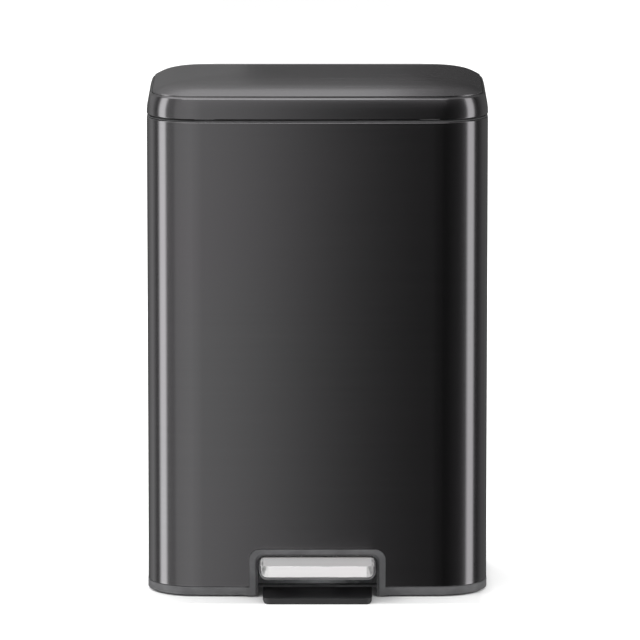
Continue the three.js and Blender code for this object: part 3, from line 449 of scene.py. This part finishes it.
def wrapShell(name, plan, profile, capStart=False, capEnd=False, planar=False):
    count = len(outline(plan, 0))
    piece = start("circle", name, vertices=count, radius=plan["halfX"])
    bpy.ops.object.mode_set(mode="EDIT")
    bpy.ops.mesh.select_mode(type="VERT")
    bpy.ops.mesh.select_all(action="SELECT")
    mesh = bmesh.from_edit_mesh(piece.data)
    mesh.verts.layers.int.new("column")
    mesh.verts.layers.int.new("row")
    column = mesh.verts.layers.int["column"]
    for index, vert in enumerate(mesh.verts):
        vert[column] = index
    for index, (inset, z) in enumerate(profile):
        if index:
            bpy.ops.mesh.extrude_edges_move()
        mesh = bmesh.from_edit_mesh(piece.data)
        column, row = [mesh.verts.layers.int[label] for label in ("column", "row")]
        points = outline(plan, inset)
        for vert in mesh.verts:
            if vert.select:
                vert.co = (*points[vert[column]], z)
                vert[row] = index
        bmesh.update_edit_mesh(piece.data)
    if capEnd:
        bpy.ops.mesh.edge_face_add()
    if capStart:
        pick(piece, "verts", lambda vert: vert[row] == 0)
        bpy.ops.mesh.edge_face_add()
    bpy.ops.object.mode_set(mode="OBJECT")
    data = piece.data
    columns, rows = [[v.value for v in data.attributes[k].data] for k in ("column", "row")]
    grain = data.uv_layers.new(name="grain")
    for face in data.polygons:
        span = [columns[v] for v in face.vertices]
        wraps = max(span) - min(span) > count / 2
        for loop in face.loop_indices:
            vert = data.loops[loop].vertex_index
            turn = count if wraps and columns[vert] == 0 else columns[vert]
            co = data.vertices[vert].co
            grain.data[loop].uv = (co.x, co.y) if planar else (turn / count, rows[vert] / len(profile))
    for label in ("column", "row"):
        data.attributes.remove(data.attributes[label])
    bpy.ops.object.mode_set(mode="EDIT")
    bpy.ops.mesh.select_all(action="SELECT")
    bpy.ops.mesh.remove_doubles(threshold=0.001 * mm)
    bpy.ops.object.mode_set(mode="OBJECT")
    return piece


def finishPiece(piece, *nodes, material=None, slotName=None, smooth=32, recalculate=True):
    if bpy.context.object and bpy.context.object.mode == "EDIT":
        bpy.ops.object.mode_set(mode="OBJECT")
    bpy.ops.object.select_all(action="DESELECT")
    bpy.context.view_layer.objects.active = piece
    piece.select_set(True)
    if recalculate:
        bpy.ops.object.mode_set(mode="EDIT")
        bpy.ops.mesh.select_all(action="SELECT")
        bpy.ops.mesh.normals_make_consistent(inside=False)
        bpy.ops.object.mode_set(mode="OBJECT")
    bpy.ops.object.shade_smooth_by_angle(angle=radians(smooth))
    added = slotName is not None  # an extra piece leaves its node in place
    slotName = slotName or slotOf[nodes[0]]
    piece.data.materials.clear()
    piece.data.materials.append(materials[material or slotName])
    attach(piece, frame["nodes"][nodes[0]]["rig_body"])
    if not added:
        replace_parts(piece, *nodes)
    return piece


def layGrain(piece):
    data = piece.data
    layer = data.uv_layers.get("grain") or data.uv_layers.new(name="grain")
    for loop in data.loops:
        co = data.vertices[loop.vertex_index].co
        layer.data[loop.index].uv = (co.x + 0.01 * co.z, co.y + co.z)


def easeEdges(piece, width, segments=3, angle=32):
    modify(piece, "BEVEL", width=width, segments=segments, limit_method="ANGLE",
           angle_limit=radians(angle), harden_normals=False)


def refineNode(node, bevel=0.3, segments=2, smooth=32):
    words = node.split("_")
    name = words[0] + "".join(word.capitalize() for word in words[1:])
    data = frame["nodes"][node].data.copy()
    piece = bpy.data.objects.new(name, data)
    bpy.context.scene.collection.objects.link(piece)
    bpy.ops.object.select_all(action="DESELECT")
    bpy.context.view_layer.objects.active = piece
    piece.select_set(True)
    bpy.ops.object.mode_set(mode="EDIT")
    bpy.ops.mesh.select_all(action="SELECT")
    bpy.ops.mesh.remove_doubles(threshold=0.001 * mm)
    bpy.ops.mesh.dissolve_limited(angle_limit=radians(0.5))
    bpy.ops.mesh.normals_make_consistent(inside=False)
    bpy.ops.object.mode_set(mode="OBJECT")
    if bevel:
        easeEdges(piece, bevel * mm, segments)
    if node == "bucket_handle":
        modify(piece, "SUBSURF", levels=1, render_levels=1)
    layGrain(piece)
    return finishPiece(piece, node, smooth=smooth, recalculate=False)


# steel body
steel, gap = 0.8 * mm, 0.3 * mm  # sheet, and the space between touching pieces
cornerRadius = 55 * mm
body = {"hem": 2 * mm, "hemWidth": 6 * mm,
        "rows": [rise * mm for rise in (1.2, 6, 16, 28, 38, 50, 80, 160, 260, 360, 460)]}
surround = {"half": 80 * mm, "top": 57 * mm, "corner": 12.5 * mm}  # arch over the pedal
bodyPlan = planFrom("body_shell", cornerRadius)
shellLow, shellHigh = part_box("body_shell")


def makeBody():
    hem, hemWidth, rises = body["hem"], body["hemWidth"], body["rows"]
    bottom, top = shellLow.z, shellHigh.z
    outer = arc(hem, top - hem, hem, 0, 90)
    inner = arc(hem, top - hem, hem - steel, 90, 0)
    rows = [bottom + rise for rise in rises] + [top - hem - rises[0]]
    profile = [(0, bottom), *[(0, z) for z in rows], *outer, (hemWidth, top), (hemWidth, top - steel),
               *inner, *[(steel, z) for z in reversed(rows)], (steel, bottom)]
    piece = wrapShell("bodyShell", bodyPlan, [*profile, profile[0]])
    half, high = surround["half"] + gap, surround["top"] + gap
    front = shellLow.y
    cutter = block("archCutter", (-half, front - 0.01, 0), (half, front + 0.02, high))
    bevelEdges(cutter, surround["corner"] + gap, 12,
               lambda a, b: min(a.z, b.z) > high - mm and abs(a.y - b.y) > 0.01)
    combine(piece, "DIFFERENCE", cutter)
    finishPiece(piece, "body_shell")


makeBody()
print("body made")

# lid
lidPlan = planFrom("lid_band", cornerRadius)
lidBand = {"sink": 0.7 * mm, "hang": 0.7 * mm, "lean": 3.6 * mm, "edge": 2.9 * mm,
           "edgeWidth": 2.2 * mm, "power": 2.2, "edgePower": 1.6}
bandLow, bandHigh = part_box("lid_band")


def bandInset(height):
    straight = bandHigh.z - bandLow.z - lidBand["edge"]
    return lidBand["lean"] * (height / straight) ** lidBand["power"]


def makeBand():
    lean, edge, width = [lidBand[key] for key in ("lean", "edge", "edgeWidth")]
    straight = bandHigh.z - bandLow.z - edge
    heights = [straight * step / 12 for step in range(13)]
    outside = [(bandInset(h), bandLow.z + h) for h in heights]
    rise = edge - lidBand["sink"]
    top, power = bandLow.z + straight, lidBand["edgePower"]
    edgeArc = [(lean + width * (1 - cos(radians(a)) ** power), top + rise * sin(radians(a)) ** power)
               for a in range(10, 91, 10)]
    inside = [(bandInset(h) + steel, bandLow.z + h) for h in reversed(heights)]
    under = (lean + width, bandHigh.z - steel - 0.9 * mm)
    hem = bandLow.z - lidBand["hang"]
    piece = wrapShell("lidBand", lidPlan, [
        (0.1 * mm, hem), (0, hem + 0.2 * mm), *outside, *edgeArc, under, *inside, (steel, hem),
        (0.1 * mm, hem)])
    finishPiece(piece, "lid_band")


dome = {"groove": 0.8 * mm, "step": 1.7 * mm, "ease": 0.2 * mm, "width": 106 * mm, "power": 2.34,
        "steps": 40, "rollWidth": 18 * mm, "rollHeight": 5.2 * mm, "rollPower": 1.3}


# The rolled shoulder, averaged with its neighbours so that it eases into the crown.
def rolled(share, spread=0.5, samples=12):
    total = 0
    for index in range(samples + 1):
        place = max(share + spread * min(share, 1) * (2 * index / samples - 1), 0)
        total += 1 - max(1 - place, 0) ** dome["rollPower"]
    return total / (samples + 1)


def makeDome():
    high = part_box("lid_top_panel")[1]
    begin = lidBand["lean"] + lidBand["edgeWidth"] + dome["groove"]
    edge = bandHigh.z - 0.6 * mm
    crown = high.z - edge - dome["step"] - dome["rollHeight"]
    upper = []
    for step in range(dome["steps"] + 1):
        share = (step / dome["steps"]) ** 2
        roll = share * dome["width"] / dome["rollWidth"]
        height = dome["rollHeight"] * rolled(roll)
        height += crown * (1 - (1 - share) ** dome["power"])
        upper.append((begin + share * dome["width"], edge + dome["step"] + height))
    ease = dome["ease"]
    lower = [(begin + steel, edge - steel)]
    lower += [(inset + 0.4 * steel, z - steel) for inset, z in upper[1:]]
    corner = arc(begin + ease, edge + dome["step"] - ease, ease, 0, 60)
    upper = [(begin, edge - steel), *corner, *upper[2:]]
    piece = wrapShell("lidTopPanel", lidPlan, [*reversed(lower), *upper], True, True, planar=True)
    finishPiece(piece, "lid_top_panel", material="blackSteelTop")


makeBand()
makeDome()
print("lid made")

# pedal
pedal = {"corner": 9 * mm, "cornerSteps": 2, "edge": 3.5 * mm, "heel": 7.5 * mm, "rise": 2.8 / 46,
         "sheet": 1.2 * mm, "crease": 0.45 * mm, "border": 0.8 * mm, "broad": 0.0005}


def wedge(name, low, high, corner, cornerSteps, edge, heel, slope=0.0):
    reach = 0.01
    plan = block(name, (low.x, low.y, low.z - reach), (high.x, high.y, high.z + reach))
    bevelEdges(plan, corner, cornerSteps,
               lambda a, b: abs(a.z - b.z) > reach and max(a.y, b.y) < low.y + mm)
    section = block(name + "Section", (low.x, low.y - reach, low.z), (high.x, high.y + reach, high.z))
    for vert in section.data.vertices:
        if vert.co.z > low.z + mm:
            vert.co.z -= (high.y - vert.co.y) * slope
    if edge:
        bevelEdges(section, edge, 8, lambda a, b: abs(a.y - b.y) > reach and min(a.z, b.z) > low.z + mm)
    bevelEdges(section, heel, 10, lambda a, b: abs(a.y - b.y) > reach and max(a.z, b.z) < low.z + mm)
    combine(plan, "INTERSECT", section)
    return plan


def makePedalCap():
    low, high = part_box("pedal_cap")
    piece = wedge("pedalCap", low, high, pedal["corner"], pedal["cornerSteps"], pedal["edge"],
                  pedal["heel"], pedal["rise"])
    easeEdges(piece, pedal["crease"], 1, 20)
    pick(piece, "faces", lambda face: face.calc_area() > pedal["broad"])
    bpy.ops.mesh.inset(thickness=pedal["border"], depth=0, use_individual=True)
    bpy.ops.object.mode_set(mode="OBJECT")
    pick(piece, "faces", lambda face: face.normal.y > 0.9 or (
        face.normal.z < -0.9 and face.calc_area() > pedal["broad"]))
    bpy.ops.mesh.delete(type="FACE")
    bpy.ops.object.mode_set(mode="OBJECT")
    modify(piece, "SOLIDIFY", thickness=pedal["sheet"], offset=-1)
    layGrain(piece)
    finishPiece(piece, "pedal_cap", smooth=18, recalculate=False)


makePedalCap()
print("pedal made")

# plastic base
base = {"foot": 2 * mm, "proud": 0.4 * mm, "lip": 4 * mm, "floor": 2.5 * mm, "inner": 3.6 * mm,
        "openingHalf": 70 * mm, "openingTop": 49.4 * mm, "openingCorner": 9 * mm,
        "chamfer": 3 * mm, "apronHalf": 84 * mm, "apronProud": 0.6 * mm, "recess": 34 * mm,
        "web": (7.3 * mm, 9.8 * mm), "boss": 11 * mm, "rodHole": 6 * mm, "ease": 0.35 * mm}


def makeBase():
    low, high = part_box("base_moulding")
    front = bodyPlan["centreY"] - bodyPlan["halfY"] - bodyPlan["bow"]
    ring = shellLow.z - mm
    floorTop = high.z - base["lip"]
    inner, foot, proud = base["inner"], base["foot"], base["proud"]
    wall = steel + gap
    tray = wrapShell("baseMoulding", bodyPlan, [
        (inner, floorTop - base["floor"]), (inner, foot), (mm - proud, foot),
        (0.2 * mm - proud, foot + 0.35 * mm),
        (-proud, foot + mm), (-proud, ring - 0.5 * mm), (0.2 * mm - proud, ring - 0.15 * mm),
        (0.5 * mm - proud, ring), (wall, ring), (wall, high.z), (inner, high.z), (inner, floorTop)],
        True, True)
    half, top = surround["half"], surround["top"]
    arched = block("surround", (-half, low.y, foot), (half, front + inner, top))
    bevelEdges(arched, surround["corner"], 12,
               lambda a, b: min(a.z, b.z) > top - mm and abs(a.y - b.y) > mm)
    apron = block("apron", (-base["apronHalf"], front - proud - base["apronProud"], foot),
                  (base["apronHalf"], front + inner, ring))
    wallX = base["openingHalf"] + base["floor"]
    back = low.y + base["recess"]
    recess = block("recess", (-wallX, front + wall, foot),
                   (wallX, back, base["openingTop"] + base["floor"]))
    bosses = []
    for node in sorted(frame["nodes"]):
        if node.startswith("rubber_foot"):
            footLow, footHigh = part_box(node)
            middle = (footLow + footHigh) / 2
            bosses.append(start("cylinder", "boss", vertices=40, radius=base["boss"],
                                depth=floorTop - mm - foot,
                                location=(middle.x, middle.y, (floorTop - mm + foot) / 2)))
    combine(tray, "UNION", arched, apron, recess, *bosses)
    half, top, chamfer = base["openingHalf"], base["openingTop"], base["chamfer"]
    opening = block("opening", (-half, low.y + chamfer, -top), (half, back + 5 * mm, top))
    bevelEdges(opening, base["openingCorner"], 12,
               lambda a, b: min(a.z, b.z) > top - mm and abs(a.y - b.y) > mm)
    for reach, spread in ((chamfer, chamfer), (5 * mm, 0)):
        pick(opening, "faces", lambda face: face.normal.y < -0.9)
        bpy.ops.mesh.extrude_region_move(TRANSFORM_OT_translate={"value": (0, -reach, 0)})
        bpy.ops.transform.resize(value=(1 + spread / half, 1, 1 + spread / top),
                                 center_override=(0, 0, 0))
        bpy.ops.object.mode_set(mode="OBJECT")
    combine(tray, "DIFFERENCE", opening)
    web = block("web", (-wallX, back - 10 * mm, base["web"][0]), (wallX, back, base["web"][1]))
    combine(tray, "UNION", web)
    rodLow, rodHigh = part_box("lift_rod")
    hole = start("cylinder", "rodHole", vertices=40, radius=base["rodHole"], depth=0.02,
                 location=(0, (rodLow.y + rodHigh.y) / 2, floorTop))
    combine(tray, "DIFFERENCE", hole)
    easeEdges(tray, base["ease"])
    finishPiece(tray, "base_moulding", recalculate=False)


frontFoot = {"corner": 9 * mm, "heel": 5 * mm, "ease": 0.8 * mm}


def makeFoot():
    low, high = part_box("anti_tip_foot")
    piece = wedge("antiTipFoot", low, high, frontFoot["corner"], 10, 0, frontFoot["heel"])
    easeEdges(piece, frontFoot["ease"], 4)
    finishPiece(piece, "anti_tip_foot", recalculate=False)


makeBase()
makeFoot()
print("base made")

# collar and bucket
collar = {"set": 1.4 * mm, "ease": 0.7 * mm, "lip": 0.9 * mm, "seat": 4.2 * mm, "skirt": 18 * mm,
          "skirtOut": 6.3 * mm, "skirtIn": 8.8 * mm, "deck": 2.5 * mm, "armSlot": 9 * mm}
bucket = {"inset": 12 * mm, "rim": 5 * mm, "taper": 6 * mm, "wall": 2.5 * mm, "foot": 4 * mm,
          "bead": 1.4 * mm, "rimHeight": 4.2 * mm}
bucketPlan = planFrom("inner_bucket", cornerRadius * exp(-bucket["inset"] / cornerRadius))


def slab(name, plan, inset, low, high):
    return wrapShell(name, plan, [(inset, low), (inset, high)], True, True)


def makeCollar():
    top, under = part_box("top_collar")[1].z, shellHigh.z + gap
    ease, skirtIn, skirtOut = collar["ease"], collar["skirtIn"], collar["skirtOut"]
    lip, seat, skirtEnd = top - collar["lip"], collar["seat"], top - collar["skirt"] - 2 * mm
    edge = arc(collar["set"] + ease, lip - ease, ease, 0, 90)
    piece = wrapShell("topCollar", bodyPlan, [
        (collar["set"], under), *edge, (seat, lip), (seat, top), (skirtIn, top),
        (skirtIn, skirtEnd), (skirtOut, skirtEnd), (skirtOut, under), (collar["set"], under)])
    deckTop = top - collar["deck"]
    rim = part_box("inner_bucket")[1].z - bucket["rimHeight"] - gap
    combine(piece, "UNION", slab("deck", bodyPlan, skirtIn - mm, deckTop - collar["deck"], deckTop),
            slab("tub", bucketPlan, -3.5 * mm, rim - collar["deck"], deckTop))
    slotBack = bodyPlan["centreY"] + bodyPlan["halfY"]
    combine(piece, "DIFFERENCE", slab("rimSpace", bucketPlan, -mm, rim, deckTop + 5 * mm),
            slab("wallSpace", bucketPlan, bucket["rim"] - mm, rim - 0.02, deckTop + 5 * mm),
            block("armSlot", (-collar["armSlot"], slotBack - 32 * mm, top - 0.03),
                  (collar["armSlot"], slotBack - 4 * mm, top + 0.01)))
    easeEdges(piece, 0.3 * mm)
    finishPiece(piece, "top_collar", recalculate=False)


# A black strip on the collar's top where the lid gap looks in. It is a dark sheet that paints shade
# into the gap line.
def makeGapShadeStrip():
    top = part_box("top_collar")[1].z
    piece = wrapShell("lidSeal", bodyPlan, [
        (4 * mm, top - 0.8 * mm), (4 * mm, top + 0.1 * mm), (4.2 * mm, top + 0.25 * mm),
        (8.3 * mm, top + 0.25 * mm), (8.5 * mm, top + 0.1 * mm), (8.5 * mm, top - 0.2 * mm),
        (4.5 * mm, top - 0.2 * mm), (4.5 * mm, top - 0.8 * mm), (4 * mm, top - 0.8 * mm)])
    finishPiece(piece, "top_collar", slotName="black_plastic")


def makeBucket():
    low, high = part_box("inner_bucket")
    rim, taper, wall, foot, bead = [bucket[key] for key in ("rim", "taper", "wall", "foot", "bead")]
    outer, inner, under = rim + taper, rim + wall, high.z - bucket["rimHeight"]
    inside, floor = inner + taper, low.z + wall
    piece = wrapShell("innerBucket", bucketPlan, [
        (outer + foot, low.z), (outer + 1.2 * mm, low.z + 1.2 * mm), (outer, low.z + foot),
        (rim, under), (0.6 * mm, under), (0, under + 0.6 * mm),
        *arc(bead, high.z - bead, bead, 0, 90), *arc(inner - bead, high.z - bead, bead, 90, 180),
        (inside, floor + 3 * mm), (inside + 0.9 * mm, floor + 0.9 * mm),
        (inside + 3 * mm, floor)], True, True)
    finishPiece(piece, "inner_bucket")


liner = {"wall": 2.5 * mm, "rise": 6 * mm}


def makeLiner():
    low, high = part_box("lid_liner")
    clear, wall = steel + gap, liner["wall"]
    domeBegin = lidBand["lean"] + lidBand["edgeWidth"] + dome["groove"]
    heights = [(bandHigh.z - bandLow.z - lidBand["edge"]) * share for share in (0.3, 0.45, 0.6, 0.8)]
    under = bandLow.z + liner["rise"]
    piece = wrapShell("lidLiner", lidPlan, [
        (clear + wall + 0.6 * mm, under), (clear + wall, low.z), (clear + 0.2 * mm, low.z),
        *[(bandInset(h) + clear, bandLow.z + h) for h in heights],
        (lidBand["lean"] + clear + 0.6 * mm, bandHigh.z - lidBand["edge"] - 1.2 * mm),
        (lidBand["lean"] + lidBand["edgeWidth"] + 0.2 * mm, high.z), (domeBegin + 6 * mm, high.z),
        (domeBegin + 6 * mm, under + wall)], True, True)
    easeEdges(piece, 0.4 * mm)
    finishPiece(piece, "lid_liner", recalculate=False)


cover = {"wall": 2.5 * mm, "corner": 8 * mm, "innerCorner": 5.5 * mm, "ease": 0.8 * mm}


def makeCover():
    low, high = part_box("hinge_cover")
    wall, reach = cover["wall"], 5 * mm
    piece = block("hingeCover", low, high)
    bevelEdges(piece, cover["corner"], 10,
               lambda a, b: abs(a.z - b.z) > reach and min(a.y, b.y) > high.y - mm)
    hollow = block("hollow", (low.x + wall, low.y - reach, low.z + wall),
                   (high.x - wall, high.y - wall, high.z + reach))
    bevelEdges(hollow, cover["innerCorner"], 8,
               lambda a, b: abs(a.z - b.z) > reach and min(a.y, b.y) > high.y - 2 * wall)
    combine(piece, "DIFFERENCE", hollow)
    easeEdges(piece, cover["ease"], 4)
    finishPiece(piece, "hinge_cover", recalculate=False)


makeCollar()
makeGapShadeStrip()
makeBucket()
makeLiner()
makeCover()
print("collar, bucket and liner made")

# everything else keeps the shape of its node, with eased edges
softEdges = {"lid_bumper_left": (0.5, 3), "lid_bumper_right": (0.5, 3), "pedal_core": (0.4, 3),
             "bucket_handle": (0, 1)}
made = {name for piece in bpy.data.objects for name in piece.get("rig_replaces", [])}
for node in sorted(frame["nodes"]):
    if node not in made:
        refineNode(node, *softEdges.get(node, (0.3, 2)))
print("fittings made")
